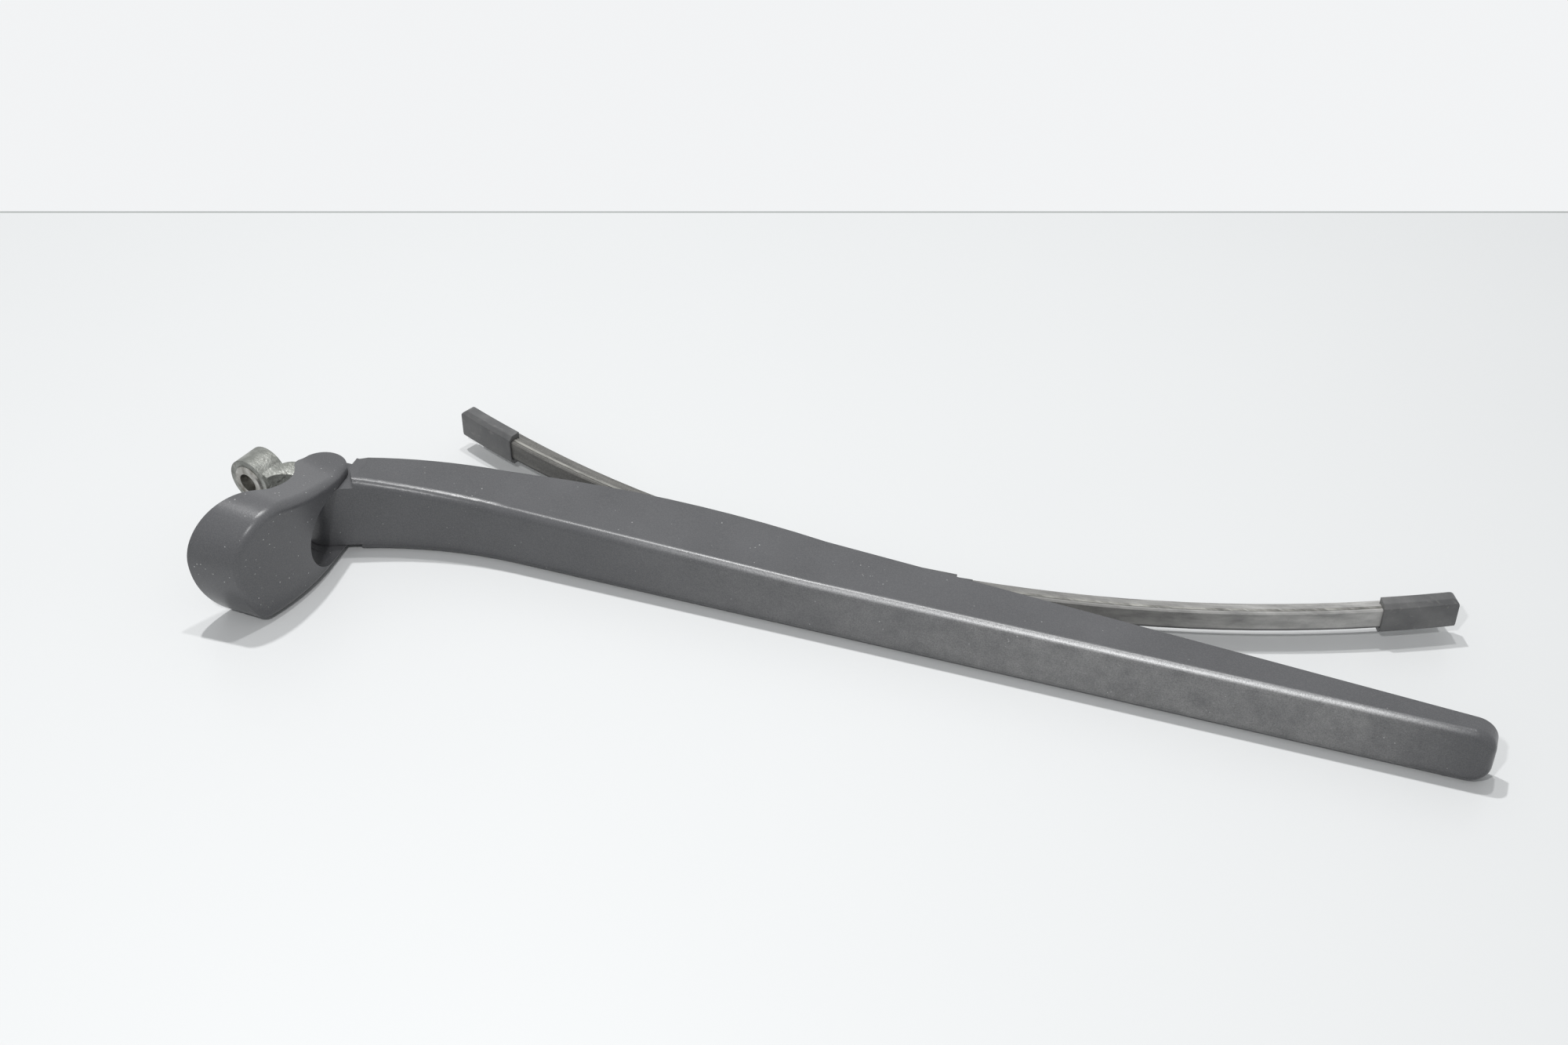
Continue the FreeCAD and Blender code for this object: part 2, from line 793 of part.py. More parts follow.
arm = cut("arm", arm_solid, pin_seats)
place(arm, s.pin_x, s.pin_y, s.rest_angle)
keep("arm_shell", arm)


def on_arm(x, y):
    """Place of a point of the arm's frame in the wiper's frame."""
    along, aside = turned(s.rest_angle, x, y)
    return (s.pin_x + along, s.pin_y + aside)


# Spring post and blade pin: steel pins pressed across the channel.
post_place = on_arm(s.post_x, s.post_y)
post = turned_body(
    "post",
    pin_path(
        s.post_radius,
        arm_inner_low - s.boss_length,
        waist_top - s.arm_wall + s.boss_length - 0.2,
        as_size(0.3),
    ),
)
place(post, post_place[0], post_place[1], s.rest_angle)
keep("spring_post", post)
pivot_place = on_arm(s.blade_x, s.blade_y)
pivot = turned_body(
    "pivot",
    pin_path(
        s.pivot_radius,
        arm_inner_low - s.boss_length,
        arm_inner_high + s.boss_length,
        as_size(0.3),
    ),
)
place(pivot, pivot_place[0], pivot_place[1], s.rest_angle)
keep("blade_pin", pivot)

# Tension spring: close-wound wire between the anchor pin and the post, with an eye at each end.
# Its frame has the origin at the anchor pin and +X towards the post.
span_x = post_place[0] - anchor_x
span_y = post_place[1] - anchor_y
span = root(span_x * span_x + span_y * span_y)
wire = s.wire_radius
pitch = (span - 2 * s.coil_start) / COIL_COUNT
coil_path = [(s.coil_start, s.coil_radius - wire), (s.coil_start, s.coil_radius)]
for turn in range(COIL_COUNT):
    coil_path.append((s.coil_start + (turn + 0.5) * pitch, s.coil_radius + wire))
    coil_path.append((s.coil_start + (turn + 1) * pitch, s.coil_radius))
coil_path.append((span - s.coil_start, s.coil_radius - wire))
coil_sketch = free_sketch("coil_profile", "XY", coil_path)
coils = doc.addObject("Part::Revolution", "coils")
coils.Source = coil_sketch
coils.Axis = Vector(1, 0, 0)
coils.Base = Vector(0, 0, 0)
coils.Angle = 360.0
coils.Solid = True
spring_parts = [coils]
for label, centre, eye_hole, way in (
    ("anchor", as_size(0), s.anchor_radius, 1),
    ("post", span, s.post_radius, -1),
):
    ring = doc.addObject("Part::Torus", label + "_ring")
    mean = eye_hole + wire + 0.15
    bind(ring, "Radius1", mean)
    bind(ring, "Radius2", wire)
    bind(ring, "Placement.Base.x", centre)
    leg = doc.addObject("Part::Cylinder", label + "_leg")
    leg.Placement = Placement(Vector(), Rotation(Vector(0, 1, 0), 90 * way))
    bind(leg, "Radius", wire)
    bind(leg, "Height", s.coil_start - mean + 0.6)
    bind(leg, "Placement.Base.x", centre + way * mean)
    disc = doc.addObject("Part::Cylinder", label + "_disc")
    disc.Placement = Placement(Vector(), Rotation(Vector(0, 1, 0), 90 * way))
    bind(disc, "Radius", s.coil_radius)
    bind(disc, "Height", 2 * wire)
    bind(disc, "Placement.Base.x", centre + way * (s.coil_start - wire))
    spring_parts += [ring, leg, disc]
spring = fuse("spring", spring_parts)
spring_turn = math.degrees(math.atan2(span_y.value, span_x.value))
spring_angle = Size(spring_turn, f"(atan2({span_y.text}; {span_x.text}) / 1 deg)")
place(spring, anchor_x, anchor_y, spring_angle)
bind(spring, "Placement.Base.z", hinge_mid)
keep("tension_spring", spring)

# Cover: glass-filled moulding, a dome over the spindle nut with two ears on the hinge pin and a
# half-round notch that clears the arm. Its frame has the origin on the pin, +X towards the dome
# and +Y outwards. Its walls lean in from the rim to the face.
ear_in_low = floor + s.ear_thick
ear_in_high = hinge_top - s.ear_thick
nose_draft = sine(s.nose_lean) / cosine(s.nose_lean)
side_draft = sine(s.side_lean) / cosine(s.side_lean)
cover_back = -s.ear_radius - 6


def cover_section(name, level, inset):
    """Outline across the cover at one depth: flat foot, swept nose, round crown and ears."""
    rise = level + s.dome_skirt
    foot = floor + inset + 0.4 * side_draft * rise
    nose_x = s.nose_reach - inset - nose_draft * rise
    nose_z = floor + s.nose_height
    crown = s.dome_radius - inset - 0.8 * side_draft * rise
    sweep = s.nose_sweep - inset + 0.5 * rise
    heel = s.heel_radius - inset
    crown_middle = (nose_x - crown, nose_z)
    sweep_middle = (nose_x - sweep, nose_z)
    heel_fall = nose_z - foot - heel
    heel_arm = sweep - heel
    heel_middle = (sweep_middle[0] + root(heel_arm * heel_arm - heel_fall * heel_fall), foot + heel)
    heel_tilt = arc_sine(heel_fall / heel_arm)
    corner = (inset, hinge_top - inset)
    reach = crown_middle[0] - corner[0]
    climb = nose_z - corner[1]
    distance = root(reach * reach + climb * climb)
    lean = arc_sine(crown / distance) + arc_sine(climb / distance)
    hook = s.ear_bend * (1 - cosine(lean / 2)) / sine(lean / 2)

    def about(middle, radius, angle):
        return (middle[0] + radius * cosine(angle), middle[1] + radius * sine(angle))

    sketch = doc.addObject("Sketcher::SketchObject", name)
    draw(
        sketch,
        [
            (cover_back, foot),
            (heel_middle[0], foot),
            ("by", about(heel_middle, heel, -45 - heel_tilt / 2)),
            about(heel_middle, heel, -heel_tilt),
            ("by", about(sweep_middle, sweep, -heel_tilt / 2)),
            (nose_x, nose_z),
            ("by", about(crown_middle, crown, 45 + lean / 2)),
            about(crown_middle, crown, 90 + lean),
            (corner[0] + s.ear_bend * cosine(lean), corner[1] + s.ear_bend * sine(lean)),
            ("by", (corner[0] - hook * sine(lean / 2), corner[1] + hook * cosine(lean / 2))),
            (corner[0] - s.ear_bend, corner[1]),
            (cover_back, corner[1]),
        ],
    )
    sketch.Placement = Placement(Vector(), PLANES["XZ"])
    bind(sketch, "Placement.Base.y", level)
    return sketch


def cover_hull(name, inset):
    """Leaning walls of the cover between a depth behind the rim and one above the face."""
    solid = doc.addObject("Part::Loft", name)
    solid.Sections = [
        cover_section(name + "_skirt", -s.dome_skirt - 6, inset),
        cover_section(name + "_crown", s.dome_rise + 3, inset),
    ]
    solid.Solid = True
    solid.Ruled = True
    return solid


cover_end = s.nose_reach + 2
cover_foot = -s.dome_skirt - 5
cover_low = floor - 2
cover_high = floor + s.nose_height + s.dome_radius + 3
ear_crown = polar(s.ear_radius, 90 + s.cover_slope)
face_fall = sine(s.cover_slope) / cosine(s.cover_slope)
arch_excess = ear_crown[1] + (s.crest_x - ear_crown[0]) * face_fall - s.dome_rise
arch = arch_excess / (1 / cosine(s.cover_slope) - 1)
arch_centre = s.dome_rise - arch


def on_arch(turn, inset):
    """Point of the face's arch, or of the arc a wall below it, at a turn from its crest."""
    return (
        s.crest_x - (arch - inset) * sine(turn),
        arch_centre + (arch - inset) * cosine(turn),
    )


def cover_face(name, inset):
    """Block under the cover's face: a slope from behind the ears, then the dome's low arch."""
    knee = on_arch(s.cover_slope, inset)
    back_end = (cover_back, knee[1] + (cover_back - knee[0]) * face_fall)
    path = [(cover_back, cover_foot), back_end, knee, ("by", on_arch(as_size(2), inset))]
    path += [on_arch(as_size(-18), inset), (cover_end, cover_foot)]
    return slab(name, path, cover_low, cover_high)


def on_face(edge):
    """Edges round the cover's face, without the seam across it and the edge behind the ears."""
    point = middle(edge)
    tops = [f for f in cover_top.Shape.Faces if f.normalAt(0, 0).y > 0.5]
    on_top = min(f.distToShape(Part.Vertex(point))[0] for f in tops) < 0.01
    seam = edge.BoundBox.XLength < 0.01
    return on_top and not seam


none = as_size(0)
cover_top = cover_face("cover_top", none)
cover_block = common("cover_block", [cover_hull("cover_walls", none), cover_top])
cover_round = fillet("cover_round", cover_block, s.cover_round, on_face)
cover_outline = slab(
    "cover_outline",
    [
        (cover_end, s.dome_rise + 5),
        (on_arch(s.cover_slope, none)[0], s.dome_rise + 5),
        on_arch(s.cover_slope, none),
        ear_crown,
        ("by", polar(s.ear_radius, as_size(200))),
        polar(s.ear_radius, as_size(-42)),
        ("by", (0.4 * s.dome_x, as_size(1.4))),
        (0.76 * s.dome_x, as_size(4.5)),
        ("by", (s.dome_x + 6, 0.6)),
        (cover_end, -s.dome_skirt),
    ],
    cover_low - 1,
    cover_high + 1,
)
cover_form = common("cover_form", [cover_round, cover_outline])
cover_hollow = common(
    "cover_hollow",
    [cover_hull("hollow_walls", s.cover_wall), cover_face("hollow_face", s.cover_wall)],
)
ear_zone = slab(
    "ear_zone",
    [
        (cover_back - 1, cover_foot - 5),
        (s.ear_radius + 2, cover_foot - 5),
        (s.ear_radius + 2, s.dome_rise),
        (cover_back - 1, s.dome_rise),
    ],
    floor - 3,
    hinge_top + 3,
)
cover_room = cut("cover_room", cover_hollow, ear_zone)
notch = wall(
    "notch",
    [
        (-s.ear_radius - 4, ear_in_low),
        (s.notch_shift, ear_in_low),
        ("by", (s.notch_shift + (ear_in_high - ear_in_low) / 2, hinge_mid)),
        (s.notch_shift, ear_in_high),
        (-s.ear_radius - 4, ear_in_high),
    ],
    -s.ear_radius - 4,
    s.dome_rise + 4,
)
ear_bores = upright(
    "ear_bores", origin, s.pin_radius + s.running_gap, floor + 1, hinge_top - 1
)
cover = cut("cover", cover_form, fuse("cover_cuts", [cover_room, notch, ear_bores]))
place(cover, s.pin_x, s.pin_y, 180 + s.cover_open)
keep("head_cap", cover)

# Blade: rubber, two spring rails, a steel clamp, end caps and a clip that rocks on the blade
# pin. The blade's frame has its origin on the blade pin, +X along the chord and +Y to the glass.
# The free blade is an arc: each long piece is a section turned about the centre of that arc.
blade_mid = floor + s.arm_height / 2
blade_centre = s.blade_rise + s.blade_bow
half_blade = arc_sine(s.blade_chord / 2 / s.blade_bow)
per_mm = Size(math.degrees(1.0), "(180 / pi)") / s.blade_bow
blade_angle = s.rest_angle + s.blade_tilt


def along_arc(name, section, first, last):
    """Section in depth below the blade's back and height, turned between two angles."""
    sketch = doc.addObject("Sketcher::SketchObject", name + "_section")
    path = []
    for step in section:
        if step[0] == "by":
            path.append(("by", (s.blade_rise + step[1][0], blade_mid + step[1][1])))
        else:
            path.append((s.blade_rise + step[0], blade_mid + step[1]))
    draw(sketch, path)
    sketch.Placement = Placement(Vector(), PLANES["YZ"])
    run = doc.addObject("Part::Revolution", name)
    run.Source = sketch
    run.Axis = Vector(0, 0, 1)
    run.Solid = True
    bind(run, "Base.y", blade_centre)
    bind(run, "Angle", as_size(last) - first)
    bind(run, "Placement.Rotation.Angle", as_size(first) * Size(1.0, "1 deg"))
    bind(run, "Placement.Base.x", blade_centre * sine(first))
    bind(run, "Placement.Base.y", blade_centre - blade_centre * cosine(first))
    return run


def mirrored(points):
    """Outline symmetric about the blade's middle height, from its points above the middle."""
    upper = [(as_size(x), as_size(z)) for x, z in points]
    return upper + [(x, -z) for x, z in reversed(upper)]


rubber_end = half_blade - (s.end_cap_stop + 0.1) * per_mm
slot_low = s.rail_depth - s.rail_gap
slot_high = s.rail_depth + s.rail_thick + s.rail_gap
slot_floor = s.rail_edge - s.rail_width - s.rail_gap
back = s.rubber_width / 2
rubber = along_arc(
    "rubber",
    mirrored(
        [
            (0.0, back - 0.5),
            (0.5, back),
            (slot_low, back),
            (slot_low, slot_floor),
            (slot_high, slot_floor),
            (slot_high, back),
            (s.rubber_back, back),
            (s.rubber_back, 0.75),
            (s.rubber_back + 1.0, 0.75),
            (s.rubber_back + 1.0, 2.7),
            (s.rubber_back + 2.0, 2.7),
            (s.rubber_back + 3.4, 0.7),
            (s.lip_depth, 0.35),
        ]
    ),
    -rubber_end,
    rubber_end,
)


def blade_piece(label, piece, first):
    """Carry a piece from the blade's frame, with the angle its arc starts from, to its place."""
    aside = (blade_centre * sine(first), blade_centre - blade_centre * cosine(first))
    move = turned(blade_angle, aside[0], aside[1])
    place(piece, pivot_place[0] + move[0], pivot_place[1] + move[1], blade_angle + first)
    keep(label, piece)


blade_piece("wiper_rubber", rubber, -rubber_end)

# Rails: spring steel, let into the sides of the rubber's back.
for label, side in (("rail_upper", 1), ("rail_lower", -1)):
    inner_edge = side * (s.rail_edge - s.rail_width)
    outer_edge = side * s.rail_edge
    rail = along_arc(
        label + "_strip",
        [
            (s.rail_depth, inner_edge),
            (s.rail_depth, outer_edge),
            (s.rail_depth + s.rail_thick, outer_edge),
            (s.rail_depth + s.rail_thick, inner_edge),
        ],
        -rubber_end,
        rubber_end,
    )
    blade_piece(label, rail, -rubber_end)

# Sheath: the section that end caps and clamp share, hooked under the rubber's back.
pocket_half = s.rail_edge + s.sheath_gap
sheath_half = pocket_half + s.sheath_wall
sheath_back = -s.sheath_gap - s.sheath_wall
pocket_foot = s.rubber_back + s.sheath_gap
sheath_foot = pocket_foot + s.sheath_wall


def sheath_outside(half):
    """Outer points of a sheath, with bevelled back edges."""
    bevel = 0.7 * (half - pocket_half)
    return [(sheath_back, half - bevel), (sheath_back + bevel, half), (sheath_foot, half)]


sheath_inside = [
    (sheath_foot, s.sheath_throat),
    (pocket_foot, s.sheath_throat),
    (pocket_foot, pocket_half),
    (-s.sheath_gap, pocket_half),
]
half_clamp = s.clamp_length / 2 * per_mm
clamp = along_arc("clamp", mirrored(sheath_outside(sheath_half) + sheath_inside), -half_clamp, half_clamp)
blade_piece("centre_clamp", clamp, -half_clamp)

# End caps: moulded, with thick side walls, closed by a block with rounded corners. Each is made
# with its end face at the start of the arc, then carried to the blade's end.
end_cap_half = pocket_half + s.end_cap_side


def at_end(edge):
    """Corner edges of a cap's end face, along its depth."""
    flat = abs(middle(edge).x) < 0.05 and edge.BoundBox.ZLength < 0.01
    return flat and edge.BoundBox.YLength > 1 and abs(middle(edge).z - blade_mid.value) > 3


for label, side in (("end_cap_left", -1), ("end_cap_right", 1)):
    spans = []
    outside = sheath_outside(end_cap_half)
    for word, section, start, length in (
        ("_sheath", outside + sheath_inside, s.end_cap_stop - 0.05, s.end_cap_length),
        ("_stop", outside, as_size(0), s.end_cap_stop),
    ):
        near = side * start * per_mm
        far = side * length * per_mm
        first, last = (-far, -near) if side > 0 else (-near, -far)
        spans.append(along_arc(label + word, mirrored(section), first, last))
    end_cap = fillet(label + "_body", fuse(label + "_blank", spans), s.end_cap_round, at_end)
    blade_piece(label, end_cap, side * half_blade)

# Clip: moulded, straddles the clamp and turns on the blade pin with a liner.
clip_half = s.clip_length / 2
clip_side = s.arm_height / 2 - s.arm_wall - s.clip_play
clip_foot = s.blade_rise + 2.4
clip_block = slab(
    "clip_block",
    [
        (-clip_half, clip_foot),
        (-clip_half, clip_foot - 5.5),
        (5.5 - clip_half, -s.clip_top),
        (clip_half - 7.5, -s.clip_top),
        (clip_half, clip_foot - 6.5),
        (clip_half, clip_foot),
    ],
    blade_mid - clip_side,
    blade_mid + clip_side,
)
clamp_room_half = (s.clamp_length / 2 + 2) * per_mm
room_edge = sheath_half + s.sheath_gap
clamp_room = along_arc(
    "clamp_room",
    mirrored([(sheath_back - s.sheath_gap, room_edge), (s.lip_depth, room_edge)]),
    -clamp_room_half,
    clamp_room_half,
)
liner_in = s.pivot_radius + s.running_gap
liner_out = liner_in + s.pivot_bush_wall
clip_bore = upright("clip_bore", origin, liner_out, floor, hinge_top)
clip = cut("clip", clip_block, fuse("clip_cuts", [clamp_room, clip_bore]))
blade_piece("blade_clip", clip, as_size(0))
liner_half = s.arm_height / 2 - s.arm_wall - 0.15
liner = turned_body(
    "liner",
    tube_path(liner_in, liner_out, blade_mid - liner_half, blade_mid + liner_half, as_size(0.2)),
)
blade_piece("clip_bush", liner, as_size(0))

# Check every object, then write one file for each piece.
doc.recompute()
problems = []
for thing in doc.Objects:
    if "Invalid" in thing.State or "Error" in thing.State:
        problems.append(f"{thing.Name}: {thing.State}")
    elif thing.isDerivedFrom("Part::Feature") and thing.TypeId != "Sketcher::SketchObject":
        if thing.Shape.isNull() or not thing.Shape.isValid():
            problems.append(f"{thing.Name}: no valid shape")
for label, piece in nodes.items():
    if len(piece.Shape.Solids) != 1:
        problems.append(f"{label}: {len(piece.Shape.Solids)} solids")
    print(label, round(piece.Shape.Volume / 1000, 3), "cm3")
for problem in problems:
    print(problem)
assert not problems
os.makedirs("parts", exist_ok=True)
for label, piece in nodes.items():
    piece.Shape.exportStep(f"parts/{label}.step")
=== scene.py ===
import math

import bpy
import numpy as np
from mathutils import Matrix, Vector


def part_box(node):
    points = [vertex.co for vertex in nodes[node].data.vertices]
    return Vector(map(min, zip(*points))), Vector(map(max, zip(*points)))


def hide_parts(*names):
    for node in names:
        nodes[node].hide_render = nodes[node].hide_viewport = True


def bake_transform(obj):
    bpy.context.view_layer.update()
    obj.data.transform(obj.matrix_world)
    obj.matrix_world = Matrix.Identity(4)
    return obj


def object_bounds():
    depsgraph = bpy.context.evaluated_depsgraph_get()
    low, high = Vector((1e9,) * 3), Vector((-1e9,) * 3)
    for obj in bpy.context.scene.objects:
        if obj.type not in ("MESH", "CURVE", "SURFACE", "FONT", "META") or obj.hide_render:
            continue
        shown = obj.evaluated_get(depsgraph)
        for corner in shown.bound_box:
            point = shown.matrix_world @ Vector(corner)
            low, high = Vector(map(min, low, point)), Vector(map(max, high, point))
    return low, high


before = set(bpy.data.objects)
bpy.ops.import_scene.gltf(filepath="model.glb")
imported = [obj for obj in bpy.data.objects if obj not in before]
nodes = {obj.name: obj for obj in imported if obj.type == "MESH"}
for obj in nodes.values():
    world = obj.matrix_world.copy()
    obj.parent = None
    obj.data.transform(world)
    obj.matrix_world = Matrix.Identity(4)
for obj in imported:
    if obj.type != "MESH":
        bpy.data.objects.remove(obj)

# Rear window wiper, taken off the car and laid on its long flat side on a white glass table. The
# cover of its head stands open, so the cast eye shows, and the bowed blade crosses behind the arm.

cad_low, cad_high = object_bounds()

scene = bpy.context.scene

# Hub. A zinc die casting that a nut clamps on the spindle. Its skin is dull and blotched from
# weather, with brown grime over it in patches.


class Finish:
    """A finish as a graph of nodes in object coordinates, in metres."""

    def __init__(self, name):
        self.material = bpy.data.materials.new(name)
        self.material.use_nodes = True
        self.tree = self.material.node_tree
        self.shader = self.tree.nodes["Principled BSDF"]
        coordinates = self.tree.nodes.new("ShaderNodeTexCoord")
        self.place = coordinates.outputs["Object"]
        self.facing = coordinates.outputs["Normal"]

    def feed(self, source, socket):
        """Link a socket to another, or set it to a plain value."""
        if isinstance(source, bpy.types.NodeSocket):
            self.tree.links.new(source, socket)
        else:
            socket.default_value = source

    def noise(self, scale, detail=3.0, rough=0.55, place=None):
        """Cloudy noise between 0 and 1, with so many features to the metre."""
        node = self.tree.nodes.new("ShaderNodeTexNoise")
        node.inputs["Scale"].default_value = scale
        node.inputs["Detail"].default_value = detail
        node.inputs["Roughness"].default_value = rough
        self.feed(place or self.place, node.inputs["Vector"])
        return node.outputs["Fac"]

    def specks(self, scale, radius, place=None):
        """1 inside small round specks scattered so many to the metre, 0 outside."""
        node = self.tree.nodes.new("ShaderNodeTexVoronoi")
        node.inputs["Scale"].default_value = scale
        self.feed(place or self.place, node.inputs["Vector"])
        return self.span(node.outputs["Distance"], radius, 1.6 * radius, 1.0, 0.0)

    def drawn_out(self, x, y, z, turn=0.0):
        """Object coordinates turned about the upright and scaled by axis, for streaks."""
        node = self.tree.nodes.new("ShaderNodeMapping")
        node.inputs["Rotation"].default_value = (0.0, 0.0, turn)
        node.inputs["Scale"].default_value = (x, y, z)
        self.feed(self.place, node.inputs["Vector"])
        return node.outputs["Vector"]

    def along(self, vector, axis):
        """One coordinate of a vector, 0, 1 or 2."""
        node = self.tree.nodes.new("ShaderNodeSeparateXYZ")
        self.feed(vector, node.inputs["Vector"])
        return node.outputs[axis]

    def span(self, value, low, high, to_low=0.0, to_high=1.0):
        """A value carried from one span to another and held inside it."""
        node = self.tree.nodes.new("ShaderNodeMapRange")
        self.feed(value, node.inputs["Value"])
        node.inputs["From Min"].default_value = low
        node.inputs["From Max"].default_value = high
        node.inputs["To Min"].default_value = to_low
        node.inputs["To Max"].default_value = to_high
        return node.outputs["Result"]

    def times(self, first, second):
        """Product of two values."""
        node = self.tree.nodes.new("ShaderNodeMath")
        node.operation = "MULTIPLY"
        self.feed(first, node.inputs[0])
        self.feed(second, node.inputs[1])
        return node.outputs["Value"]

    def blend(self, share, first, second):
        """Colour between two colours."""
        node = self.tree.nodes.new("ShaderNodeMix")
        node.data_type = "RGBA"
        for socket, source in (("Factor_Float", share), ("A_Color", first), ("B_Color", second)):
            self.feed(source, next(s for s in node.inputs if s.identifier == socket))
        return next(s for s in node.outputs if s.identifier == "Result_Color")

    def relief(self, height, strength, depth, under=None):
        """Bump of a depth in metres, on top of another normal if there is one."""
        node = self.tree.nodes.new("ShaderNodeBump")
        node.inputs["Strength"].default_value = strength
        node.inputs["Distance"].default_value = depth
        self.feed(height, node.inputs["Height"])
        if under is not None:
            self.feed(under, node.inputs["Normal"])
        return node.outputs["Normal"]

    def broken_edge(self, radius):
        """Normals that round each edge by a radius."""
        node = self.tree.nodes.new("ShaderNodeBevel")
        node.samples = 4
        node.inputs["Radius"].default_value = radius
        return node.outputs["Normal"]

    def set(self, colour, rough, metal=0.0, normal=None, specular=0.5):
        """Feed the shader and give back the material."""
        self.feed(colour, self.shader.inputs["Base Color"])
        self.feed(rough, self.shader.inputs["Roughness"])
        self.feed(metal, self.shader.inputs["Metallic"])
        self.feed(specular, self.shader.inputs["Specular IOR Level"])
        if normal is not None:
            self.feed(normal, self.shader.inputs["Normal"])
        return self.material


def dress(material, *pieces):
    """Give pieces, or nodes by name, one material."""
    for piece in pieces:
        mesh = (nodes[piece] if isinstance(piece, str) else piece).data
        mesh.materials.clear()
        mesh.materials.append(material)


def cast_zinc():
    """Cast skin: grey in blotches 6 mm across, grime over it in patches of 3 mm, fine pits."""
    f = Finish("cast_zinc")
    blotch = f.noise(170.0, 5.0, 0.6)
    grime = f.noise(330.0, 4.0, 0.65)
    pits = f.noise(1100.0, 3.0)
    colour = f.blend(f.span(blotch, 0.36, 0.66), (0.20, 0.206, 0.190, 1), (0.40, 0.407, 0.38, 1))
    colour = f.blend(f.span(grime, 0.56, 0.70, 0.0, 0.75), colour, (0.060, 0.057, 0.048, 1))
    normal = f.relief(pits, 0.6, 0.0004, f.broken_edge(0.0006))
    return f.set(colour, f.span(blotch, 0.3, 0.7, 0.58, 0.36), 0.55, normal)


dress(cast_zinc(), "hub_casting")

# Sleeve, pins and washers. Free-cutting steel turned on a lathe; the sleeve, here a plain tube, is
# pressed into the eye and the pins are riveted over. The zinc plating is dull, brown in spots.


def turned_steel():
    """Plated steel: pale where it is rubbed, tarnished in spots, faint rings from the tool."""
    f = Finish("turned_steel")
    tarnish = f.noise(260.0, 4.0)
    rings = f.noise(2400.0, 1.0, 0.5, f.drawn_out(0.05, 0.05, 1.0))
    colour = f.blend(f.span(tarnish, 0.35, 0.68), (0.17, 0.160, 0.140, 1), (0.50, 0.495, 0.47, 1))
    normal = f.relief(rings, 0.3, 0.00015, f.broken_edge(0.0003))
    return f.set(colour, f.span(tarnish, 0.3, 0.7, 0.5, 0.28), 0.9, normal)


dress(
    turned_steel(),
    "spline_sleeve",
    "anchor_pin",
    "hinge_pin",
    "washer_lower",
    "washer_upper",
    "spring_post",
    "blade_pin",
)

# Bushes. Natural acetal rings, pressed into the arm round the hinge pin and into the clip round
# the blade pin; handling has left a grey film on them.


def bearing_plastic():
    """Acetal: cream, with a grey film where it has been touched."""
    f = Finish("acetal")
    film = f.noise(300.0, 3.0)
    colour = f.blend(f.span(film, 0.4, 0.7), (0.62, 0.60, 0.54, 1), (0.36, 0.345, 0.31, 1))
    normal = f.relief(film, 0.15, 0.0002, f.broken_edge(0.0002))
    return f.set(colour, f.span(film, 0.3, 0.7, 0.38, 0.55), 0.0, normal)


dress(bearing_plastic(), "bush_lower", "bush_upper", "clip_bush")

# Arm. A long channel moulded from glass-filled nylon, charcoal grey all through. The mould's
# spark-eroded grain breaks up its gloss, and road dust lies on the outer face past the elbow.
GRAIN_PER_METRE = 2500.0
GRAIN_DEPTH = 0.00009
SPECKS_PER_METRE = 480.0
SPECK_RADIUS = 0.080
FILM_AND_HIGHLIGHT_THIN = 0.355
FILM_AND_HIGHLIGHT_END = 0.388


def charcoal(name, film_and_highlight_from, film_and_highlight_to, specks_on):
    """Charcoal moulding: faint clouds 40 mm across, grain of 0.4 mm in colour and relief. What
    faces up is painted a little lighter, as light from above. A dust film grows between two
    distances along the outer face and ends at the tip; over the same stretch the ridge above that
    face carries a painted highlight, a pale line broken by the grain. Specks lie in groups. A
    speck's radius is a share of the space it has."""
    f = Finish(name)
    cloud = f.noise(26.0, 4.0)
    grain = f.noise(GRAIN_PER_METRE, 2.0, 0.6)
    colour = f.blend(f.span(cloud, 0.35, 0.7), (0.060, 0.061, 0.066, 1), (0.080, 0.081, 0.087, 1))
    colour = f.blend(f.span(grain, 0.40, 0.75, 0.0, 0.30), colour, (0.19, 0.19, 0.19, 1))
    level = f.along(f.facing, 2)
    # Painted top light: what faces up is made a little lighter.
    colour = f.blend(f.span(level, 0.35, 0.95, 0.0, 0.05), colour, (0.30, 0.30, 0.305, 1))
    outward = f.along(f.facing, 1)
    distance = f.along(f.place, 0)
    begins = f.span(distance, film_and_highlight_from, film_and_highlight_to)
    reach = f.times(begins, f.span(distance, FILM_AND_HIGHLIGHT_END, FILM_AND_HIGHLIGHT_THIN))
    drift = f.span(f.noise(110.0, 6.0, 0.72), 0.30, 0.70, 0.35, 1.0)
    outer_face = f.span(outward, -0.55, -0.85)
    film = f.times(outer_face, f.times(drift, f.span(grain, 0.25, 0.65, 0.35, 1.0)))
    colour = f.blend(f.times(film, f.times(reach, 0.85)), colour, (0.300, 0.298, 0.294, 1))
    # Painted highlight on the ridge above the outer face: a pale line, broken by the grain, over
    # the stretch where the film lies.
    painted_ridge_highlight = f.times(f.span(level, 0.48, 0.78), f.span(level, 0.95, 0.84))
    painted_ridge_highlight = f.times(painted_ridge_highlight, f.span(outward, -0.20, -0.40))
    painted_ridge_highlight = f.times(painted_ridge_highlight, f.span(grain, 0.30, 0.60, 0.45, 1.0))
    colour = f.blend(f.times(painted_ridge_highlight, f.times(reach, 0.9)), colour, (0.78, 0.78, 0.785, 1))
    groups = f.span(f.noise(120.0, 3.0), specks_on, specks_on + 0.10, 0.0, 0.6)
    specks = f.times(f.specks(SPECKS_PER_METRE, SPECK_RADIUS), groups)
    colour = f.blend(specks, colour, (0.60, 0.60, 0.59, 1))
    normal = f.relief(grain, 0.35, GRAIN_DEPTH)
    return f.set(colour, f.span(cloud, 0.3, 0.7, 0.27, 0.33), 0.0, normal, specular=0.6)


dress(charcoal("charcoal_arm", film_and_highlight_from=0.11, film_and_highlight_to=0.26, specks_on=0.54), "arm_shell")
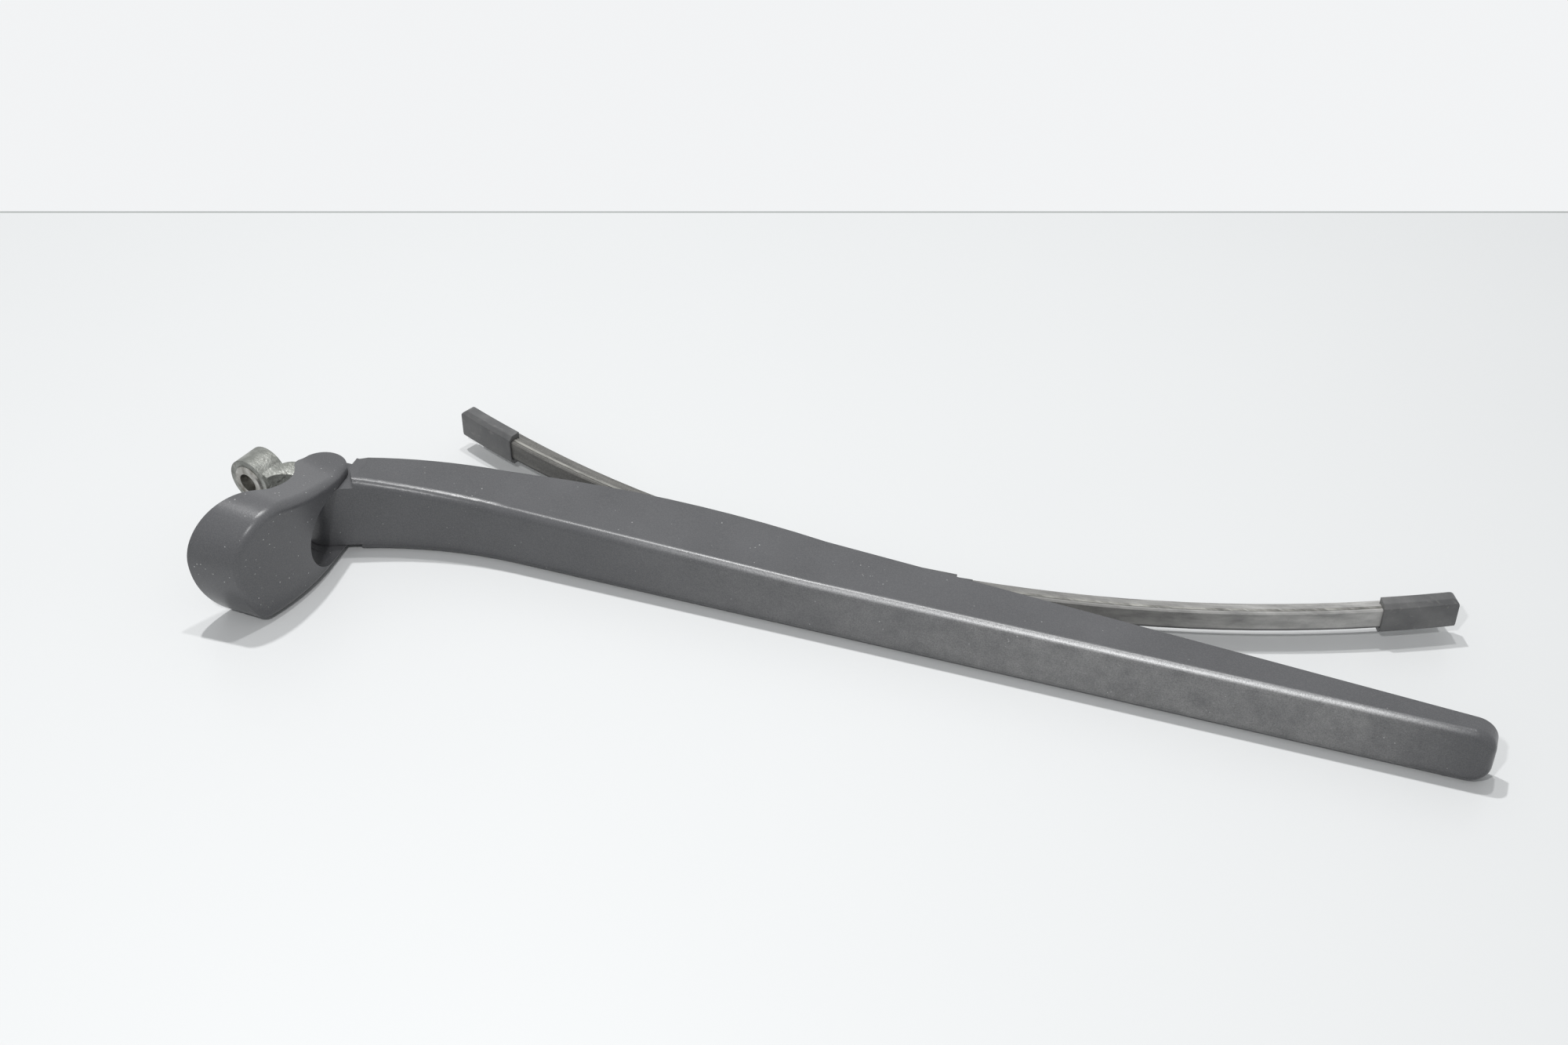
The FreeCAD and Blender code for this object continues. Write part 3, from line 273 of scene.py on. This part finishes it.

# Spring. Oiled music wire, close wound, hooked over the anchor pin in the head and the post in
# the arm. It takes the place of the frame's corrugated barrel.
WIRE_RADIUS = 0.0010
WIRE_SIDES = 8
COIL_RADIUS = 0.0040
PITCH = 0.00208
LEAD = 0.0100
HOOK_PLAY = 0.00015
HOOK_TURN = math.radians(290.0)
HOOK_POINTS = 40
POINTS_PER_TURN = 22
anchor_low, anchor_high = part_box("anchor_pin")
post_low, post_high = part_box("spring_post")
barrel_low, barrel_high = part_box("tension_spring")
spring_level = (barrel_low[2] + barrel_high[2]) / 2


def pin_point(low, high):
    """Where an upright pin's axis meets the level of the spring."""
    return np.array([(low[0] + high[0]) / 2, (low[1] + high[1]) / 2, spring_level])


anchor = pin_point(anchor_low, anchor_high)
post = pin_point(post_low, post_high)


def sweep(name, path, outward, radius, sides):
    """Round wire: at each point of the path a circle across the tangent t, in the frame of n, the
    outward vector less its part along t, and t x n. All rings are one array; the ends are flat."""
    tangent = np.gradient(path, axis=0)
    tangent /= np.linalg.norm(tangent, axis=1, keepdims=True)
    normal = outward - (outward * tangent).sum(axis=1, keepdims=True) * tangent
    normal /= np.linalg.norm(normal, axis=1, keepdims=True)
    beside = np.cross(tangent, normal)
    turn = np.linspace(0.0, 2.0 * math.pi, sides, endpoint=False)[None, :, None]
    across = np.cos(turn) * normal[:, None] + np.sin(turn) * beside[:, None]
    rings = path[:, None] + radius * across
    index = np.arange(len(path) * sides).reshape(len(path), sides)
    turned = np.roll(index, -1, axis=1)
    quads = np.stack([index[:-1], turned[:-1], turned[1:], index[1:]], axis=-1).reshape(-1, 4)
    mesh = bpy.data.meshes.new(name)
    ends = [index[0, ::-1].tolist(), index[-1].tolist()]
    mesh.from_pydata(rings.reshape(-1, 3).tolist(), [], quads.tolist() + ends)
    mesh.polygons.foreach_set("use_smooth", np.ones(len(mesh.polygons), dtype=bool))
    piece = bpy.data.objects.new(name, mesh)
    scene.collection.objects.link(piece)
    return piece


def spring_line():
    """Wire centre line and its outward vectors. Between the pins p(s) = anchor + s along + r(s) e,
    with e turning by 2 pi / PITCH per metre in the coil and slower by the square of the distance
    in the two leads, which so hold a third of the turns of a coil as long; r goes smoothly from
    the hook's radius to the coil's. Each hook is an arc by the angle b round its pin, of e turned
    towards along, in the plane across the pins."""
    length = np.linalg.norm(post - anchor)
    along = (post - anchor) / length
    up = np.array([0.0, 0.0, 1.0])
    aside = np.cross(up, along)
    first = (anchor_high[0] - anchor_low[0]) / 2 + WIRE_RADIUS + HOOK_PLAY
    last = (post_high[0] - post_low[0]) / 2 + WIRE_RADIUS + HOOK_PLAY
    s = np.linspace(0.0, length, int(POINTS_PER_TURN * length / PITCH))
    ramp = np.clip(np.minimum(s, length - s) / LEAD, 0.0, 1.0)
    wind = np.cumsum(ramp**2)
    wind = (wind - wind[0]) / (wind[-1] - wind[0])
    turns = round((length - 2.0 * LEAD + 2.0 * LEAD / 3.0) / PITCH)
    wind = 2.0 * math.pi * turns * wind
    near = np.where(s < length / 2, first, last)
    radius = near + (COIL_RADIUS - near) * ramp * ramp * (3.0 - 2.0 * ramp)
    e = np.outer(np.cos(wind), aside) + np.outer(np.sin(wind), up)
    coil = anchor + np.outer(s, along) + radius[:, None] * e
    b = np.linspace(HOOK_TURN, 0.0, HOOK_POINTS)[:-1]
    e_first = np.outer(np.cos(b), aside) - np.outer(np.sin(b), along)
    b = b[::-1]
    e_last = np.outer(np.cos(b), aside) + np.outer(np.sin(b), along)
    path = np.concatenate([anchor + first * e_first, coil, post + last * e_last])
    return path, np.concatenate([e_first, e, e_last])


def spring_steel():
    """Oiled wire: dark, with lighter marks from drawing and a wet gloss."""
    f = Finish("spring_wire")
    marks = f.noise(800.0, 3.0)
    colour = f.blend(f.span(marks, 0.35, 0.7), (0.10, 0.095, 0.085, 1), (0.32, 0.305, 0.28, 1))
    return f.set(colour, f.span(marks, 0.3, 0.7, 0.26, 0.44), 0.95, f.relief(marks, 0.2, 0.0001))


wire_path, wire_outward = spring_line()
spring = sweep("spring_wire", wire_path, wire_outward, WIRE_RADIUS, WIRE_SIDES)
dress(spring_steel(), spring)
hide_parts("tension_spring")
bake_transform(spring)

# Blade. Rubber extrusion with a grey-brown road film, streaked along its length and thinner on
# the lip. Two rolled strips lie in its grooves and bow it.
BLADE_TURN = math.radians(-17.5)
UNDERSIDE = -0.0128
UNDERSIDE_FADES = -0.0122


def blade_rubber():
    """Black rubber under film: streaks along the blade, paler towards its right end, fine chalk
    over them, and painted shade, near black, along the underside that faces the table."""
    f = Finish("blade_rubber")
    film = f.noise(300.0, 5.0, 0.62, f.drawn_out(0.16, 0.5, 1.0, BLADE_TURN))
    fine = f.noise(1700.0, 3.0)
    colour = f.blend(f.span(film, 0.30, 0.66), (0.085, 0.083, 0.078, 1), (0.185, 0.181, 0.170, 1))
    paler = f.blend(f.span(film, 0.30, 0.66), (0.26, 0.257, 0.252, 1), (0.52, 0.515, 0.50, 1))
    colour = f.blend(f.span(f.along(f.place, 0), 0.20, 0.32), colour, paler)
    colour = f.blend(f.span(fine, 0.5, 0.8, 0.0, 0.4), colour, (0.36, 0.35, 0.33, 1))
    # Painted shade: the rubber goes near black towards its underside, next to the table.
    low = f.span(f.along(f.place, 2), UNDERSIDE, UNDERSIDE_FADES, 0.85, 0.0)
    colour = f.blend(low, colour, (0.030, 0.030, 0.031, 1))
    normal = f.relief(fine, 0.3, 0.0002, f.broken_edge(0.0002))
    return f.set(colour, f.span(film, 0.3, 0.7, 0.46, 0.66), 0.0, normal, specular=0.45)


dress(blade_rubber(), "wiper_rubber")


def rail_steel():
    """Stainless strip with dried film and paler scratches along it."""
    f = Finish("rail_strip")
    film = f.noise(320.0, 4.0, 0.62, f.drawn_out(0.2, 0.6, 1.0, BLADE_TURN))
    scratch = f.noise(1500.0, 2.0, 0.6, f.drawn_out(0.08, 1.0, 1.0, BLADE_TURN))
    colour = f.blend(f.span(film, 0.38, 0.62), (0.13, 0.128, 0.118, 1), (0.36, 0.355, 0.33, 1))
    colour = f.blend(f.span(scratch, 0.55, 0.75, 0.0, 0.6), colour, (0.55, 0.545, 0.52, 1))
    normal = f.relief(scratch, 0.2, 0.0001, f.broken_edge(0.00015))
    return f.set(colour, f.span(film, 0.3, 0.7, 0.36, 0.58), 0.6, normal)


dress(rail_steel(), "rail_upper", "rail_lower")

# Clamp. A pressed steel saddle, stoved black, folded round the rubber's back at mid length. The
# clip sits on it.


def black_steel():
    """Stoved paint, slightly chalky."""
    f = Finish("black_paint")
    chalk = f.noise(260.0, 4.0)
    colour = f.blend(f.span(chalk, 0.4, 0.7), (0.035, 0.036, 0.037, 1), (0.075, 0.076, 0.077, 1))
    normal = f.relief(f.noise(2000.0, 2.0), 0.2, 0.0001, f.broken_edge(0.0003))
    return f.set(colour, f.span(chalk, 0.3, 0.7, 0.36, 0.55), 0.0, normal)


dress(black_steel(), "centre_clamp")

# End caps and clip. Dark grey mouldings; the caps are pushed over the ends of the blade and the
# clip hangs it on the blade pin. They have a dull bloom and pale scuffs.


def clip_plastic():
    """Dark moulding: bloom in clouds 10 mm across, short scuffs, fine grain."""
    f = Finish("clip_plastic")
    bloom = f.noise(95.0, 4.0)
    scuff = f.noise(700.0, 3.0, 0.6, f.drawn_out(0.3, 1.0, 0.6, BLADE_TURN))
    grain = f.noise(2300.0, 2.0)
    colour = f.blend(f.span(bloom, 0.35, 0.68), (0.095, 0.096, 0.098, 1), (0.160, 0.160, 0.159, 1))
    colour = f.blend(f.span(scuff, 0.58, 0.75, 0.0, 0.5), colour, (0.24, 0.238, 0.228, 1))
    normal = f.relief(grain, 0.4, 0.00025, f.broken_edge(0.0006))
    return f.set(colour, f.span(bloom, 0.3, 0.7, 0.40, 0.55), 0.0, normal)


dress(clip_plastic(), "end_cap_left", "end_cap_right", "blade_clip")

# Cover. The arm's charcoal nylon again, in a domed lid that snaps on the hinge pin's ends. Its
# face is freckled with dust, and the road film and the painted ridge highlight start at a distance
# that it doesn't reach.
NO_FILM_OR_HIGHLIGHT = 9.0
dress(charcoal("charcoal_cover", film_and_highlight_from=NO_FILM_OR_HIGHLIGHT, film_and_highlight_to=9.5, specks_on=0.45), "head_cap")

# Table. Back-painted glass that runs to a straight edge with a ground bevel; past it is only the
# pale room.
TABLE_GAP = 0.00005
PICTURE_LEVEL = float(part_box("arm_shell")[0][2])
TABLE_LEVEL = min(cad_low[2], PICTURE_LEVEL) - TABLE_GAP
PICTURE_MIDDLE = Vector((0.14807, 0.09880, PICTURE_LEVEL))
TURN = math.radians(34.0)
right = Vector((math.cos(TURN), math.sin(TURN), 0.0))
away = Vector((-math.sin(TURN), math.cos(TURN), 0.0))
HALF_TABLE = 3.0
FRONT_EDGE = -2.0
BACK_EDGE = 0.206
BEVEL = 0.0012


def on_table(across, back, rise=0.0):
    """Point over the table from the picture's middle: across, back and up."""
    return PICTURE_MIDDLE + across * right + back * away + Vector((0, 0, rise))


def board(name, front, back, colour, shade, rough, specular):
    """Flat stage piece, as wide as the table, between two lines at its level. Its colour drifts
    slightly."""
    sunk = TABLE_LEVEL - PICTURE_LEVEL
    corners = [
        on_table(-HALF_TABLE, front, sunk),
        on_table(HALF_TABLE, front, sunk),
        on_table(HALF_TABLE, back, sunk),
        on_table(-HALF_TABLE, back, sunk),
    ]
    mesh = bpy.data.meshes.new(name)
    mesh.from_pydata([tuple(p) for p in corners], [], [(0, 1, 2, 3)])
    piece = bpy.data.objects.new(name, mesh)
    scene.collection.objects.link(piece)
    f = Finish(name)
    dress(f.set(f.blend(f.noise(5.0, 2.0), colour, shade), rough, 0.0, None, specular), piece)


board(
    "table",
    FRONT_EDGE,
    BACK_EDGE,
    colour=(0.825, 0.835, 0.838, 1),
    shade=(0.80, 0.81, 0.815, 1),
    rough=0.34,
    specular=0.25,
)
board(
    "table_edge",
    BACK_EDGE,
    BACK_EDGE + BEVEL,
    colour=(0.42, 0.44, 0.43, 1),
    shade=(0.36, 0.38, 0.37, 1),
    rough=0.3,
    specular=0.5,
)

# Camera. It stands 757 mm from the middle of the picture and looks down on it at 39 degrees,
# through a lens of 50 mm on a sensor 36 mm wide.
ELEVATION = math.radians(39.0)
DISTANCE = 0.757
FOCAL_PIXELS = 2800.0
PICTURE_WIDTH = 2000.0
SENSOR = 36.0
backward = (-math.cos(ELEVATION) * away + Vector((0, 0, math.sin(ELEVATION)))).normalized()
camera_data = bpy.data.cameras.new("camera")
camera_data.sensor_width = SENSOR
camera_data.sensor_fit = "HORIZONTAL"
camera_data.lens = SENSOR * FOCAL_PIXELS / PICTURE_WIDTH
camera_data.clip_start = 0.01
camera = bpy.data.objects.new("camera", camera_data)
scene.collection.objects.link(camera)
axes = Matrix((right, backward.cross(right), backward)).transposed().to_4x4()
camera.matrix_world = Matrix.Translation(PICTURE_MIDDLE + DISTANCE * backward) @ axes
scene.camera = camera

# Light. A pale surround, two small lamps overhead and a little behind, which draw the thin shadows
# on the table, and one near the camera, which with the highlight painted in the arm's colour makes
# the bright line along the arm's ridge. The surround lights with one tone and is seen, also in
# reflections, with a paler one.
SURROUND_STRENGTH = 0.36


def lamp(name, place, size, power):
    """Square lamp that looks at the picture's middle."""
    data = bpy.data.lights.new(name, "AREA")
    data.shape = "SQUARE"
    data.size = size
    data.energy = power
    light = bpy.data.objects.new(name, data)
    scene.collection.objects.link(light)
    light.location = place
    light.rotation_euler = (PICTURE_MIDDLE - place).to_track_quat("-Z", "Y").to_euler()


lamp("left_lamp", on_table(-0.26, 0.28, 1.46), 0.05, 8.8)
lamp("right_lamp", on_table(0.10, 0.16, 1.46), 0.05, 4.2)
lamp("near_lamp", on_table(-0.16, -0.56, 0.68), 0.04, 1.8)
world = bpy.data.worlds.new("surround")
world.use_nodes = True
sky = world.node_tree
glow = sky.nodes["Background"]
glow.inputs["Color"].default_value = (0.97, 0.99, 1.0, 1)
glow.inputs["Strength"].default_value = SURROUND_STRENGTH
room = sky.nodes.new("ShaderNodeBackground")
room.inputs["Color"].default_value = (0.89, 0.90, 0.91, 1)
ray = sky.nodes.new("ShaderNodeLightPath")
looks = ray.outputs["Is Camera Ray"]
for kind in ("Is Glossy Ray", "Is Transmission Ray"):
    either = sky.nodes.new("ShaderNodeMath")
    either.operation = "MAXIMUM"
    sky.links.new(looks, either.inputs[0])
    sky.links.new(ray.outputs[kind], either.inputs[1])
    looks = either.outputs["Value"]
choice = sky.nodes.new("ShaderNodeMixShader")
sky.links.new(looks, choice.inputs[0])
sky.links.new(glow.outputs[0], choice.inputs[1])
sky.links.new(room.outputs[0], choice.inputs[2])
sky.links.new(choice.outputs[0], sky.nodes["World Output"].inputs["Surface"])
scene.world = world
scene.view_settings.view_transform = "Standard"
